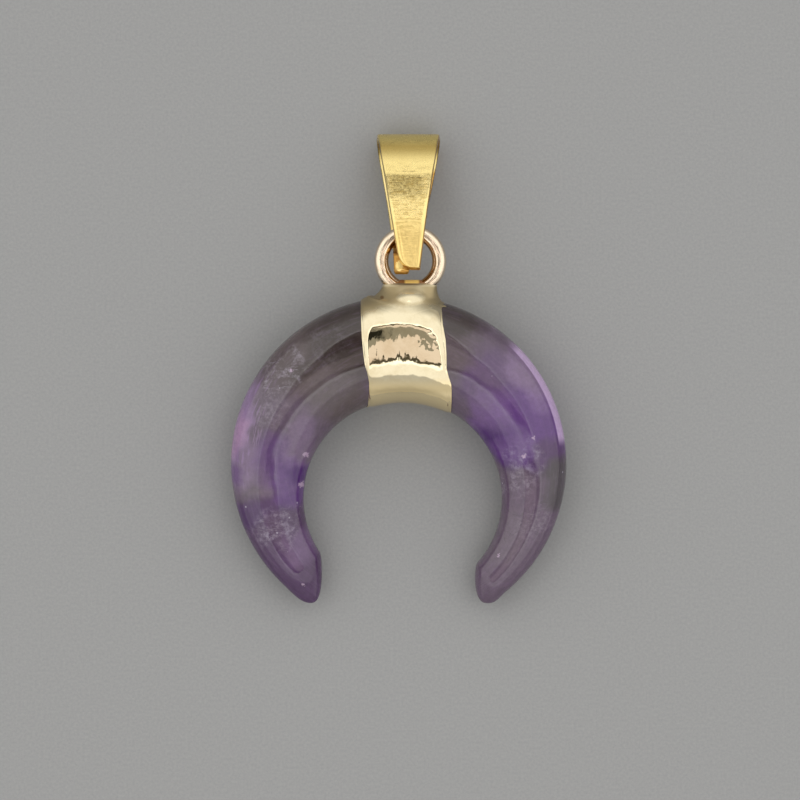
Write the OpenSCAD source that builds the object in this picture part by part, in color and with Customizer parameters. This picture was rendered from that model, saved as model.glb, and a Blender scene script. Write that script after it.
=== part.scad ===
// Moon pendant: a polished crescent of purple stone held in a plated cap with a soldered ring,
// and a bail folded from one tapered strip. It lies on its back, as it does on a table.
// X runs to the right, Y towards the bail, Z up. All sizes are millimetres.

/* [Crescent] */
// Width of the crescent, the diameter of its outer edge
moon_w = 30; // [28:0.5:30]
// Diameter of the circle that the inner edge follows
inner_d = 17.7; // [17:0.1:18.4]
// How far the inner circle lies below the middle of the outer one
inner_drop = 3.1; // [2.8:0.1:3.4]
// How far the inner circle lies to the right
inner_shift = 0.36; // [0:0.02:0.5]
// Thickness of the stone under the cap
moon_t = 7.2; // [6.4:0.1:8]
// Thickness of the horns where their points begin
horn_t = 3.7; // [3.2:0.1:4.4]
// Roundness of the stone's section, 2 for a plain oval
section_power = 2.2; // [2:0.1:2.6]
// Turn from the top to where the left horn's point begins, in degrees
left_turn = 130; // [126:1:134]
// Turn from the top to where the right horn's point begins, in degrees
right_turn = 136; // [132:1:138]
// Turn from the top to both horns' tips, in degrees
tip_turn = 148.6; // [146:0.2:150]
// How far the tips lie inside the outer edge's circle
tip_inset = 0.33; // [0.25:0.01:0.5]

/* [Cap] */
// Width of the cap along the crescent
cap_w = 7.1; // [6:0.1:8]
// Wall of the plated cap
cap_wall = 0.2; // [0.2:0.02:0.4]
// Glue gap between the cap and the stone
cap_gap = 0.03; // [0.02:0.01:0.06]
// Clockwise skew of the cap on the stone, in degrees
cap_skew = 5; // [0:1:6]
// Distance of the cap's middle line from the crescent's middle
cap_side = 1.49; // [1:0.01:1.6]

/* [Ring and neck] */
// Outer diameter of the soldered ring
ring_d = 6.4; // [6:0.1:6.4]
// Diameter of the ring's wire
ring_wire = 1.25; // [1.1:0.05:1.3]
// Height of the ring's middle above the crescent's middle
ring_y = 18.2; // [18.2:0.1:18.5]
// Distance of the ring's middle to the right of the crescent's middle
ring_x = 1.04; // [0.9:0.02:1.2]

/* [Bail] */
// Width of the bail's strip at its fold
bail_top_w = 5.6; // [5:0.1:6]
// Width of the strip at the front leg's end
front_end_w = 1.75; // [1.6:0.05:1.9]
// Width of the strip at the back leg's end
back_end_w = 1.3; // [1.2:0.05:1.5]
// Thickness of the strip
bail_t = 0.5; // [0.4:0.05:0.5]
// Depth of the bail over its round fold
bail_depth = 4.6; // [4.4:0.1:4.8]
// Length from the ring's wire to the middle of the fold
bail_reach = 7.1; // [6.8:0.1:7.4]
// Length of the front leg below the ring's wire
front_tail = 3.5; // [3.3:0.1:3.7]
// How far the back leg is bent to the left at its end
back_lean = 0.61; // [0:0.01:0.65]

/* [Hidden] */

stone_colour = "#5B4A72";
cap_colour = "#D8CB9C";
bail_colour = "#D9B44A";

outer_r = moon_w / 2;
inner_r = inner_d / 2;
inner_mid = [inner_shift, -inner_drop];
// The sections of the horns fan out from here, which keeps them square to the horn
fan_mid = 0.6 * inner_mid;
// Over this share of each horn the sections turn from the cap's direction into the fan
fan_share = 0.4;
sides = 32;
horn_steps = 24;
cap_steps = 8;
point_steps = 9;
// The tip's end is square to this turn, and this round
tip_square = 104;
tip_round = 1.05;
// How far the inner edge runs on along its circle before it bends to the tip
point_run = 0.45;

function out_dir(g) = [sin(g), cos(g)];
function side_dir(g) = [cos(g), -sin(g)];

// The middle and the half width of the crescent along a line: turned by g, at distance u from the middle
function line_end(u) = sqrt(outer_r * outer_r - u * u);
function line_start(g, u) =
    let (v = u - inner_mid * side_dir(g))
    inner_mid * out_dir(g) + sqrt(inner_r * inner_r - v * v);
function line_mid(g, u) = side_dir(g) * u + out_dir(g) * (line_end(u) + line_start(g, u)) / 2;
function line_half(g, u) = (line_end(u) - line_start(g, u)) / 2;

// Half thickness of the stone, which falls evenly from the cap to the horns' points
function half_t(g, turn) =
    horn_t / 2 + (moon_t - horn_t) / 2 * (cos(g) - cos(turn)) / (1 - cos(turn));

// A section is [middle, outward direction, half width, half thickness]
function section(g, u, turn) = [line_mid(g, u), out_dir(g), line_half(g, u), half_t(g, turn)];

function cap_section(u) = section(-cap_skew, cap_side + u, (left_turn + right_turn) / 2);

// Sections of one horn from the cap's edge to where its point begins, side is -1 left and 1 right
function horn_section(side, turn, p) =
    let (
        g = -cap_skew + (side * turn + cap_skew) * p,
        edge = cap_side + side * cap_w / 2 - fan_mid * side_dir(-cap_skew),
        fade = pow(1 - min(1, p / fan_share), 2),
        mean_turn = (left_turn + right_turn) / 2
    )
    section(g, fan_mid * side_dir(g) + edge * fade, mean_turn);

function tip(side) = out_dir(side * tip_turn) * (outer_r - tip_inset);

// A smooth curve from a to d that leaves towards b and arrives from c
function curve(a, b, c, d, x) =
    a * pow(1 - x, 3) + b * 3 * x * pow(1 - x, 2) + c * 3 * x * x * (1 - x) + d * pow(x, 3);

// The direction along a circle about a middle at point p, clockwise for side 1
function along(side, middle, p) = side * side_dir(atan2(p[0] - middle[0], p[1] - middle[1]));

// Sections of a horn's point at share x of its way to the tip, between its outer and inner edge
function point_section(side, turn, x) =
    let (
        last = horn_section(side, turn, 1),
        outer = last[0] + last[1] * last[2],
        inner = last[0] - last[1] * last[2],
        end = tip(side),
        run = along(side, [0, 0], outer) * norm(end - outer) / 3,
        flat = out_dir(side * tip_square) * tip_round,
        outside = curve(outer, outer + run, end + flat, end, x),
        inside = curve(inner, inner + along(side, inner_mid, inner) * point_run, end - flat, end, x),
        half = (outside - inside) / 2
    )
    [(outside + inside) / 2, half / norm(half), norm(half), last[3] * norm(half) / last[2]];

function reversed(list) = [for (i = [len(list) - 1 : -1 : 0]) list[i]];

function right_sections() = concat(
    [for (i = [1 : horn_steps]) horn_section(1, right_turn, i / horn_steps)],
    [for (i = [1 : point_steps - 1]) point_section(1, right_turn, i / point_steps)]
);
function left_sections() = concat(
    [for (i = [1 : horn_steps]) horn_section(-1, left_turn, i / horn_steps)],
    [for (i = [1 : point_steps - 1]) point_section(-1, left_turn, i / point_steps)]
);
function cap_sections() =
    [for (i = [0 : cap_steps]) cap_section(cap_w * (i / cap_steps - 0.5))];

function rounded(x) = sign(x) * pow(abs(x), 2 / section_power);

// The points round one section, grown on all sides by a margin
function section_loop(s, grow = 0) =
    [
        for (i = [0 : sides - 1])
        let (
            a = -360 * i / sides,
            w = (s[2] + grow) * rounded(cos(a)),
            p = s[0] + s[1] * w
        )
        [p[0], p[1], (s[3] + grow) * rounded(sin(a))]
    ];

// The stone's loops from the left tip to the right tip
stone_sections = concat(reversed(left_sections()), cap_sections(), right_sections());
stone_loops = [for (s = stone_sections) section_loop(s)];

function joined(lists) = [for (list = lists) for (item = list) item];

// Faces between loops of n points, each loop numbered after the one before
function loop_faces(loops, n, first = 0) =
    [
        for (j = [0 : loops - 2])
        for (i = [0 : n - 1])
        let (a = first + j * n, k = (i + 1) % n)
        each [[a + i, a + k, a + n + k], [a + i, a + n + k, a + n + i]]
    ];

stone_points = concat(joined(stone_loops), [[each tip(-1), 0], [each tip(1), 0]]);
cap_outer_loops = [for (s = cap_sections()) section_loop(s, cap_gap + cap_wall)];

// The rest on a flat table: turned about X until the cap's back and the horns' backs are level
function lowest(points, tilt) = min([for (p = points) p[1] * sin(tilt) + p[2] * cos(tilt)]);
function level_tilt(low, high, steps) =
    let (mid = (low + high) / 2)
    steps == 0 ? mid :
    lowest(joined(cap_outer_loops), mid) < lowest(stone_points, mid)
        ? level_tilt(mid, high, steps - 1)
        : level_tilt(low, mid, steps - 1);
rest_tilt = level_tilt(0, 15, 24);
rest_z = -lowest(stone_points, rest_tilt);

// The bail hangs on the ring's wire and slopes down until its fold meets the table
pivot_y = ring_y + (ring_d - ring_wire) / 2;
pivot = [ring_x, pivot_y * cos(rest_tilt), pivot_y * sin(rest_tilt) + rest_z];
// Its front leg lies on the wire, so its own middle line is a little lower than the wire's middle
bail_drop = 0.22;
bail_slope = asin((pivot[2] - bail_depth / 2) / norm([bail_reach, bail_drop]))
    - atan2(bail_drop, bail_reach);

// Strip's middle line, seen from the side, as [along the bail, height] from the ring's wire
fold_r = (bail_depth - bail_t) / 2;
// The legs stand this far from the middle line beside the wire
wire_half = ring_wire / 2 + bail_drop + 0.05 + bail_t / 2;
// Below the wire the front leg runs on at this rise, and the back leg bends up to it
leg_rise = 0.2;
pinch_gap = 0.06;
// The back leg stays clear of the wire to here and has met the front leg here
apart_y = -1.1;
pinch_y = -2.5;
back_extra = 0.25;
curl_rise = 0.2;
fold_steps = 12;
leg_steps = 9;
bend_steps = 5;
// The front leg's left corner is rounded over this width and length
corner_w = 0.8;
corner_l = 1.2;
corner_steps = 4;

function eased(x) = x * x * (3 - 2 * x);
function front_height(y) =
    y < 0 ? wire_half + leg_rise * y : wire_half + (fold_r - wire_half) * sin(90 * y / bail_reach);
function back_height(y) =
    let (bend = eased(min(1, max(0, (y - apart_y) / (pinch_y - apart_y)))))
    y < 0
        ? -wire_half + (front_height(y) - bail_t - pinch_gap + wire_half) * bend
        : -front_height(y);

bow_rows = [for (i = [0 : leg_steps]) bail_reach * i / leg_steps];
front_rows = concat(
    [for (i = [0 : corner_steps]) -front_tail + corner_l * (1 - cos(90 * i / corner_steps))],
    [apart_y],
    bow_rows
);
back_rows = concat(
    [-front_tail],
    [for (i = [0 : bend_steps]) pinch_y + (apart_y - pinch_y) * i / bend_steps],
    bow_rows
);
front_line = [for (y = front_rows) [y, front_height(y)]];
fold_line = [
    for (i = [1 : fold_steps - 1])
    let (a = 180 * i / fold_steps)
    [bail_reach + fold_r * sin(a), fold_r * cos(a)]
];
back_line = concat(
    [for (y = reversed(back_rows)) [y, back_height(y)]],
    [
        for (x = [0.5, 1])
        [-front_tail - back_extra * x, back_height(-front_tail) + curl_rise * x * x]
    ]
);
strip_line = concat(front_line, fold_line, back_line);
front_count = len(front_line) + len(fold_line) / 2;

// Width of the strip and its middle across the bail, at a place along it
function strip_down(y) = 1 - (y + front_tail) / (bail_reach + fold_r + front_tail);
function strip_w(y, back) =
    bail_top_w + ((back ? back_end_w : front_end_w) - bail_top_w) * strip_down(y);
function strip_x(y, back) = -0.17 + (back ? -back_lean : 0.15) * pow(strip_down(y), 3);

edge_cut = 0.12;

// The eight corners of the strip's section at one place of its middle line
function strip_loop(i) =
    let (
        p = strip_line[i],
        before = strip_line[max(0, i - 1)],
        after = strip_line[min(len(strip_line) - 1, i + 1)],
        step = (after - before) / norm(after - before),
        face = [-step[1], step[0]],
        back = i > front_count,
        y = max(-front_tail, p[0]),
        w = strip_w(y, back) / 2,
        x = strip_x(y, back),
        h = bail_t / 2,
        c = back ? 0 : max(0, 1 - (y + front_tail) / corner_l),
        left = corner_w * (1 - sqrt(1 - c * c)) - w
    )
    [
        for (q = [
            [w, h - edge_cut], [w - edge_cut, h], [left + edge_cut, h], [left, h - edge_cut],
            [left, edge_cut - h], [left + edge_cut, -h], [w - edge_cut, -h], [w, edge_cut - h]
        ])
        [x + q[0], p[0] + face[0] * q[1], p[1] + face[1] * q[1]]
    ];

strip_loops = [for (i = [0 : len(strip_line) - 1]) strip_loop(i)];

function bail_placed(p) = [
    pivot[0] + p[0],
    pivot[1] + p[1] * cos(bail_slope) + (p[2] - bail_drop) * sin(bail_slope),
    pivot[2] - p[1] * sin(bail_slope) + (p[2] - bail_drop) * cos(bail_slope)
];
bail_points = [for (p = joined(strip_loops)) bail_placed(p)];

// The origin is at the middle of the whole pendant's box, on the table
stone_ys = [for (p = stone_points) p[1] * cos(rest_tilt) - p[2] * sin(rest_tilt)];
stone_xs = [for (p = stone_points) p[0]];
bail_ys = [for (p = bail_points) p[1]];
centre_x = (max(stone_xs) + min(stone_xs)) / 2;
centre_y = (max(bail_ys) + min(stone_ys)) / 2;

// Puts what is drawn in the crescent's own plane onto the table
module laid_down() {
    translate([-centre_x, -centre_y, rest_z])
        rotate([rest_tilt, 0, 0])
            children();
}

module stone() {
    count = len(stone_loops);
    left = count * sides;
    color(stone_colour)
        laid_down()
            polyhedron(
                points = stone_points,
                faces = concat(
                    loop_faces(count, sides),
                    [for (i = [0 : sides - 1]) [left, (i + 1) % sides, i]],
                    [
                        for (i = [0 : sides - 1])
                        [left + 1, left - sides + i, left - sides + (i + 1) % sides]
                    ]
                )
            );
}

// A closed block through a row of loops with flat ends
module block(loops, n) {
    count = len(loops);
    polyhedron(
        points = joined(loops),
        faces = concat(
            loop_faces(count, n),
            [[for (i = [n - 1 : -1 : 0]) i]],
            [[for (i = [0 : n - 1]) (count - 1) * n + i]]
        )
    );
}

// The stone's room in the cap, run past both of its ends
function room_sections() =
    [for (i = [0 : cap_steps + 1]) cap_section(1.25 * cap_w * (i / (cap_steps + 1) - 0.5))];

// The neck between cap and ring: [height, middle, half width, half thickness]
neck_rows = [
    [13.0, 0.30, 3.10, 2.30],
    [14.2, 0.45, 3.30, 2.35],
    [14.6, 0.52, 3.15, 2.25],
    [15.0, 0.62, 2.95, 1.98],
    [15.4, 0.83, 2.62, 1.62],
    [15.8, 0.95, 2.45, 1.28],
    [16.12, 1.00, 2.38, 0.98],
    [16.3, 1.02, 2.32, 0.64],
    [16.49, 1.03, 2.08, 0.22]
];

function neck_loop(row) =
    [
        for (i = [0 : sides - 1])
        let (a = 360 * i / sides)
        [row[1] + row[2] * cos(a), row[0], row[3] * sin(a)]
    ];

module cap() {
    color(cap_colour)
        laid_down()
            union() {
                difference() {
                    union() {
                        block(cap_outer_loops, sides);
                        block([for (row = neck_rows) neck_loop(row)], sides);
                    }
                    block([for (s = room_sections()) section_loop(s, cap_gap)], sides);
                }
                translate([ring_x, ring_y, 0])
                    rotate_extrude($fn = 64)
                        translate([(ring_d - ring_wire) / 2, 0])
                            circle(d = ring_wire, $fn = 32);
            }
}

module bail() {
    n = len(strip_loops[0]);
    count = len(strip_loops);
    color(bail_colour)
        translate([-centre_x, -centre_y, 0])
            polyhedron(
                points = bail_points,
                faces = concat(
                    loop_faces(count, n),
                    [[for (i = [n - 1 : -1 : 0]) i]],
                    [[for (i = [0 : n - 1]) (count - 1) * n + i]]
                )
            );
}

stone();
cap();
bail();
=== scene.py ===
from math import cos, pi, radians, sin, tan

import bmesh
import bpy
import numpy as np
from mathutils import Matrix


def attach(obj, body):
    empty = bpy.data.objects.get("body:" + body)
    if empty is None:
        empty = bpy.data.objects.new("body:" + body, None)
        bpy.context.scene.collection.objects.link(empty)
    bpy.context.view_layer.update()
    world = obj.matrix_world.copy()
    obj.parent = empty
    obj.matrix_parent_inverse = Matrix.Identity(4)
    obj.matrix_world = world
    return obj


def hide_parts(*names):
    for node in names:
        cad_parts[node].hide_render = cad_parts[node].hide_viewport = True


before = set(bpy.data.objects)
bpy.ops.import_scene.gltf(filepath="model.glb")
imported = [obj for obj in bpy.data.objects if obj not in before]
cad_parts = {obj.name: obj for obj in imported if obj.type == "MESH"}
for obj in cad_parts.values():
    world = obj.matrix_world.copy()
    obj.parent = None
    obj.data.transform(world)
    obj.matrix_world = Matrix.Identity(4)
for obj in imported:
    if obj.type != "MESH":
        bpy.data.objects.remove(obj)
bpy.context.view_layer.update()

MM = 0.001

# The view and the light
# The pendant lies on a flat grey card and is seen from straight above through a long lens. It is lit
# by a white tent that stands all round it, with a darker gap round the lens at the top.
PICTURE_WIDTH = 71.4 * MM
PICTURE_MIDDLE = (0.12 * MM, -2.78 * MM)
SHARP_HEIGHT = 3.5 * MM
LENS = 200.0
SENSOR = 36.0

camera = bpy.data.objects.new("camera", bpy.data.cameras.new("camera"))
bpy.context.scene.collection.objects.link(camera)
bpy.context.scene.camera = camera
camera.data.lens = LENS
camera.data.sensor_width = SENSOR
camera.data.clip_start = 0.01
camera.data.clip_end = 5.0
camera.location = (*PICTURE_MIDDLE, SHARP_HEIGHT + PICTURE_WIDTH * LENS / SENSOR)
bpy.context.scene.view_settings.view_transform = "Standard"


def feed(node, values):
    """Feeds a node's sockets with plain values, wires or the first outputs of other nodes."""
    for key, value in values.items():
        socket = node.inputs[key]
        if isinstance(value, bpy.types.Node):
            value = value.outputs[0]
        if isinstance(value, Wire):
            value = value.socket
        if isinstance(value, bpy.types.NodeSocket):
            node.id_data.links.new(value, socket)
        elif socket.type == "RGBA":
            socket.default_value = (*value, 1.0)
        else:
            socket.default_value = value


def put(tree, kind, values=None, **settings):
    """Adds a node to a tree, sets it up and feeds it."""
    new = tree.nodes.new(kind)
    for name, setting in settings.items():
        setattr(new, name, setting)
    feed(new, values or {})
    return new


class Wire:
    """An output to reckon with: arithmetic on it adds Math or Vector Math nodes to its tree."""

    def __init__(self, source):
        self.socket = source.outputs[0] if isinstance(source, bpy.types.Node) else source
        self.tree = self.socket.id_data
        self.is_vector = self.socket.type in ("VECTOR", "RGBA")

    def node(self, kind, *values):
        """One such node, kind as Blender names it, fed with these values or else with this wire."""
        maths = "ShaderNodeVectorMath" if self.is_vector else "ShaderNodeMath"
        made = put(self.tree, maths, dict(enumerate(values or (self,))), operation=kind)
        return Wire(made.outputs["Value"] if kind in ("DISTANCE", "LENGTH") else made)

    def __add__(self, other):
        return self.node("ADD", self, other)

    def __sub__(self, other):
        return self.node("SUBTRACT", self, other)

    def __rsub__(self, other):
        return self.node("SUBTRACT", other, self)

    def __mul__(self, other):
        if self.is_vector and not isinstance(other, tuple):
            values = {0: self, "Scale": other}
            return Wire(put(self.tree, "ShaderNodeVectorMath", values, operation="SCALE"))
        return self.node("MULTIPLY", self, other)

    def __truediv__(self, other):
        return self.node("DIVIDE", self, other)

    def __rtruediv__(self, other):
        return self.node("DIVIDE", other, self)

    def __pow__(self, other):
        return self.node("POWER", self, other)

    def __abs__(self):
        return self.node("ABSOLUTE")


def larger(first, second):
    """The larger of a wire and another value."""
    return first.node("MAXIMUM", first, second)


def step_up(value, low, high):
    """0 where the value is below low, 1 above high, smooth between; low may be the larger one."""
    values = {"Value": value, "From Min": low, "From Max": high}
    return Wire(put(value.tree, "ShaderNodeMapRange", values, interpolation_type="SMOOTHSTEP"))


def between(value, start, full, fade, end):
    """1 where the value is between full and fade, 0 before start and after end."""
    return step_up(value, start, full) * step_up(value, end, fade)


def blend(share, first, second):
    """A colour between two colours."""
    values = {0: share, 6: first, 7: second}
    return Wire(put(share.tree, "ShaderNodeMix", values, data_type="RGBA").outputs[2])


def noise(place, scale, detail, roughness=0.5, output=0):
    """Cloudy noise over a place, with 0.5 in its middle; output 1 is three such noises."""
    values = {"Vector": place, "Scale": scale, "Detail": detail, "Roughness": roughness}
    return Wire(put(place.tree, "ShaderNodeTexNoise", values).outputs[output])


def split(vector):
    """The three numbers of a vector."""
    return [Wire(number) for number in put(vector.tree, "ShaderNodeSeparateXYZ", {0: vector}).outputs]


def join(tree, x=0.0, y=0.0, z=0.0):
    """A vector of three numbers."""
    return Wire(put(tree, "ShaderNodeCombineXYZ", {0: x, 1: y, 2: z}))


# Colours of the tent and of the gap
TENT_WHITE = (1.0, 0.985, 0.95)
HORIZON_GREY = (0.42, 0.41, 0.385)
HORIZON_SIDE = (0.85, 0.83, 0.79)
GAP_GREY = (0.30, 0.285, 0.25)
GAP_BLACK = (0.02, 0.02, 0.015)
GAP_EDGE = (0.085, 0.075, 0.055)
GAP_LIT = (0.84, 0.74, 0.70)
TENT_LIGHT = 1.3
GLOW = 0.55
# The gap's shape, in tangents of the lean from straight up
GAP_SHIFT = 0.023
GAP_HALF_WIDE = tan(radians(19.3))
GAP_MIDDLE = 0.125
GAP_HALF_LONG = 0.525
GAP_CORNER = 4.5
GAP_BEND = 1.4
CORNER_DRAWN_IN = 0.18
EDGE_WANDERS = 0.2
BLACK_WANDERS = 0.3
# Where the masks of the gap begin and end
GAP_RIM = (1.02, 0.97)
GLOW_RING = (1.01, 1.04, 1.08, 1.22)
NEAR_LINE = (-0.33, -0.305)
INNER_LINE = (0.91, 0.89)
INNER_LINE_SIDE = 0.055
BLACK_SPAN = (0.04, 0.10, 0.40, 0.47)
# Where the tent darkens towards the horizon, and on the near side, as shares of its light
TENT_RISE = (0.12, 0.58)
NEAR_START = -tan(radians(43))
NEAR_FULL = -tan(radians(46))
NEAR_DARK = 0.18
NEAR_DARK_HIGH = 0.32

world = bpy.data.worlds.new("tent")
bpy.context.scene.world = world
world.use_nodes = True
tree = world.node_tree
tree.nodes.clear()
direction = Wire(put(tree, "ShaderNodeTexCoord").outputs["Generated"])
east, north, up = split(direction)
height = larger(up, 0.02)
right_lean = east / height
far_lean = north / height
# The gap is a rounded opening with one corner drawn in; gap_off is 1 on its edge
side_off = abs(right_lean + GAP_SHIFT) / GAP_HALF_WIDE
bent = far_lean + right_lean * right_lean * GAP_BEND
near_right = step_up(right_lean, 0.0, 0.33) * step_up(bent, 0.0, -0.3)
bent = bent - near_right * CORNER_DRAWN_IN
long_off = abs(bent - GAP_MIDDLE) / GAP_HALF_LONG
gap_off = (side_off**GAP_CORNER + long_off**GAP_CORNER) ** (1 / GAP_CORNER)
# Inside it, grey meets a lit surface along a ragged line, with black on the left and a dark near edge
ragged = noise(direction, 12.0, 2.0, 0.6) - 0.5
ragged_lean = bent + ragged * EDGE_WANDERS
inner_line = gap_off - step_up(side_off, 0.80, 0.90) * INNER_LINE_SIDE
deep = step_up(inner_line, *INNER_LINE) * step_up(ragged_lean, *NEAR_LINE)
lit_edge = step_up(right_lean, -0.16, 0.12) * 0.30 - 0.10
lit_low = step_up(ragged_lean - lit_edge, 0.025, -0.005)
lit_high = step_up(bent + right_lean * 0.35, 0.50, 0.53)
black = step_up(right_lean, -0.045, -0.085) * between(far_lean + ragged * BLACK_WANDERS, *BLACK_SPAN)
gap_inside = blend(larger(lit_low, lit_high), blend(black, GAP_GREY, GAP_BLACK), GAP_LIT)
gap_colour = blend(deep, GAP_EDGE, gap_inside)
# The tent is white above and greyer at the horizon, above all at the near and the far end
rise = step_up(up, *TENT_RISE)
east_square = east * east
side_share = step_up(east_square / (north * north + east_square + 0.0001), 0.3, 0.75)
wall = blend(rise, blend(side_share, HORIZON_GREY, HORIZON_SIDE), TENT_WHITE)
near_share = 1.0 - step_up(far_lean, NEAR_START, NEAR_FULL) * (rise * NEAR_DARK_HIGH + NEAR_DARK)
glow_share = between(gap_off, *GLOW_RING) * GLOW + 1.0
light_colour = blend(step_up(gap_off, *GAP_RIM), wall * (near_share * glow_share), gap_colour)
background = put(tree, "ShaderNodeBackground", {"Color": light_colour, "Strength": TENT_LIGHT})
put(tree, "ShaderNodeOutputWorld", {"Surface": background})

CARD_HALF = 0.6
CARD_GREY = (0.314, 0.320, 0.327)
CARD_SPECKLE = 0.19

card_mesh = bpy.data.meshes.new("card")
card_corners = [(x * CARD_HALF, y * CARD_HALF, 0) for x, y in ((-1, -1), (1, -1), (1, 1), (-1, 1))]
card_mesh.from_pydata(card_corners, [], [(0, 1, 2, 3)])


def add_piece(name, mesh):
    """An object at the origin."""
    made = bpy.data.objects.new(name, mesh)
    bpy.context.scene.collection.objects.link(made)
    return made


def new_material(name):
    """A material, its tree, its Principled shader and its Object coordinates in millimetres."""
    made = bpy.data.materials.new(name)
    made.use_nodes = True
    tree = made.node_tree
    tree.nodes.clear()
    shader = put(tree, "ShaderNodeBsdfPrincipled")
    put(tree, "ShaderNodeOutputMaterial", {"Surface": shader})
    return made, tree, shader, Wire(put(tree, "ShaderNodeTexCoord").outputs["Object"]) * 1000.0


def bumped(height, distance, strength=1.0, normal=None):
    """The normal after a bump, its distance in millimetres."""
    values = {"Height": height, "Strength": strength, "Distance": distance * MM}
    if normal:
        values["Normal"] = normal
    return Wire(put(height.tree, "ShaderNodeBump", values))


card = add_piece("card", card_mesh)
card_paper, tree, shader, place = new_material("card_paper")
speckle = noise(place, 4.0, 4.0, 0.7)
darker, lighter = [tuple(share * c for c in CARD_GREY) for share in (1 - CARD_SPECKLE, 1 + CARD_SPECKLE)]
feed(shader, {
    "Base Color": blend(speckle, darker, lighter), "Roughness": 0.9, "Specular IOR Level": 0.2,
    "Normal": bumped(speckle, 0.05, 0.25),
})
card_mesh.materials.append(card_paper)

# The stone
# A crescent ground and polished from one piece of amethyst: smoky grey beside the cap, purple and
# lilac further down, with white veils inside. It is thickest under the cap and lies on its back.
MOON_R = 15.0
INNER_R = 8.85
INNER_MID = np.array([0.36, -3.1])
FAN_MID = 0.6 * INNER_MID
FAN_SHARE = 0.4
CAP_WIDTH = 7.1
CAP_SKEW = -5.0
CAP_SIDE = 1.49
LEFT_TURN = -130.0
RIGHT_TURN = 136.0
MEAN_TURN = 133.0
TIP_TURN = 148.6
TIP_INSET = 0.33
TIP_SQUARE = 104.0
TIP_ROUND = 1.05
POINT_RUN = 0.45
HALF_THICK = 3.6
HALF_THIN = 1.85
ROUNDNESS = 2.2
LIE_TILT = 5.966
LIE_LIFT = 2.865
LIE_BACK = 8.501
STEPS_UNDER_CAP = 24
POINTS_ROUND = 96
MERGE = 0.0005 * MM


def outward(turn):
    """Away from the crescent's middle, at a turn in degrees clockwise from the top."""
    return np.array([sin(radians(turn)), cos(radians(turn))])


def sideways(turn):
    """Clockwise along the crescent at that turn."""
    return np.array([cos(radians(turn)), -sin(radians(turn))])


def cut(turn, aside):
    """Where a line at that turn, so far to the side, crosses the stone: its middle and half its length."""
    far = np.sqrt(MOON_R**2 - aside**2)
    off = aside - INNER_MID @ sideways(turn)
    near = INNER_MID @ outward(turn) + np.sqrt(INNER_R**2 - off**2)
    return sideways(turn) * aside + outward(turn) * (far + near) / 2, (far - near) / 2


def half_depth(turn):
    """Half the stone's thickness."""
    low = cos(radians(MEAN_TURN))
    return HALF_THIN + (HALF_THICK - HALF_THIN) * (cos(radians(turn)) - low) / (1 - low)


def station(turn, aside):
    """One section of the stone: middle, half width as a vector to the outer edge, half thickness."""
    middle, reach = cut(turn, aside)
    return middle, outward(turn) * reach, half_depth(turn)


def horn_station(side, last_turn, share):
    """A section between the cap and the start of a horn's point."""
    turn = CAP_SKEW + (last_turn - CAP_SKEW) * share
    edge = CAP_SIDE + side * CAP_WIDTH / 2 - FAN_MID @ sideways(CAP_SKEW)
    fade = (1 - min(1, share / FAN_SHARE)) ** 2
    return station(turn, FAN_MID @ sideways(turn) + edge * fade)


def bow(start, leave, arrive, end, share):
    """A smooth curve through start and end."""
    rest = 1 - share
    return start * rest**3 + leave * 3 * share * rest**2 + arrive * 3 * share**2 * rest + end * share**3


def along(side, middle, point):
    """The direction along a circle at one of its points, towards the tip."""
    spoke = (point - middle) / np.linalg.norm(point - middle)
    return side * np.array([spoke[1], -spoke[0]])


def point_station(side, last_turn, share):
    """A section of a horn's blunt point."""
    middle, reach, depth = horn_station(side, last_turn, 1)
    outer, inner = middle + reach, middle - reach
    tip = outward(side * TIP_TURN) * (MOON_R - TIP_INSET)
    run = along(side, np.zeros(2), outer) * np.linalg.norm(tip - outer) / 3
    flat = outward(side * TIP_SQUARE) * TIP_ROUND
    outside = bow(outer, outer + run, tip + flat, tip, share)
    inside = bow(inner, inner + along(side, INNER_MID, inner) * POINT_RUN, tip - flat, tip, share)
    half_vector = (outside - inside) / 2
    shrink = np.linalg.norm(half_vector) / np.linalg.norm(reach)
    return (outside + inside) / 2, half_vector, depth * shrink


def horn(side, last_turn, horn_steps=100, point_steps=26, crowding=1.6):
    """All sections of one horn, from the cap to the tip, where they crowd together."""
    body = [horn_station(side, last_turn, i / horn_steps) for i in range(1, horn_steps + 1)]
    shares = [1 - (1 - i / point_steps) ** crowding for i in range(1, point_steps + 1)]
    return body + [point_station(side, last_turn, share) for share in shares]


cap_shares = [i / STEPS_UNDER_CAP - 0.5 for i in range(STEPS_UNDER_CAP + 1)]
under_cap = [station(CAP_SKEW, CAP_SIDE + CAP_WIDTH * share) for share in cap_shares]
stations = horn(-1, LEFT_TURN)[::-1] + under_cap + horn(1, RIGHT_TURN)

spine_mesh = bpy.data.meshes.new("crescent")
spine_mesh.from_pydata([(m[0] * MM, m[1] * MM, 0) for m, _, _ in stations], [], [])
reach_data = spine_mesh.attributes.new("reach", "FLOAT_VECTOR", "POINT")
reach_data.data.foreach_set("vector", [v * MM for _, r, _ in stations for v in (r[0], r[1], 0)])
depth_data = spine_mesh.attributes.new("depth", "FLOAT", "POINT")
depth_data.data.foreach_set("value", [d * MM for _, _, d in stations])

GROUP_RESULTS = {"Shader": ("Value", "Float"), "Geometry": ("Geometry", "Geometry")}


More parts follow.
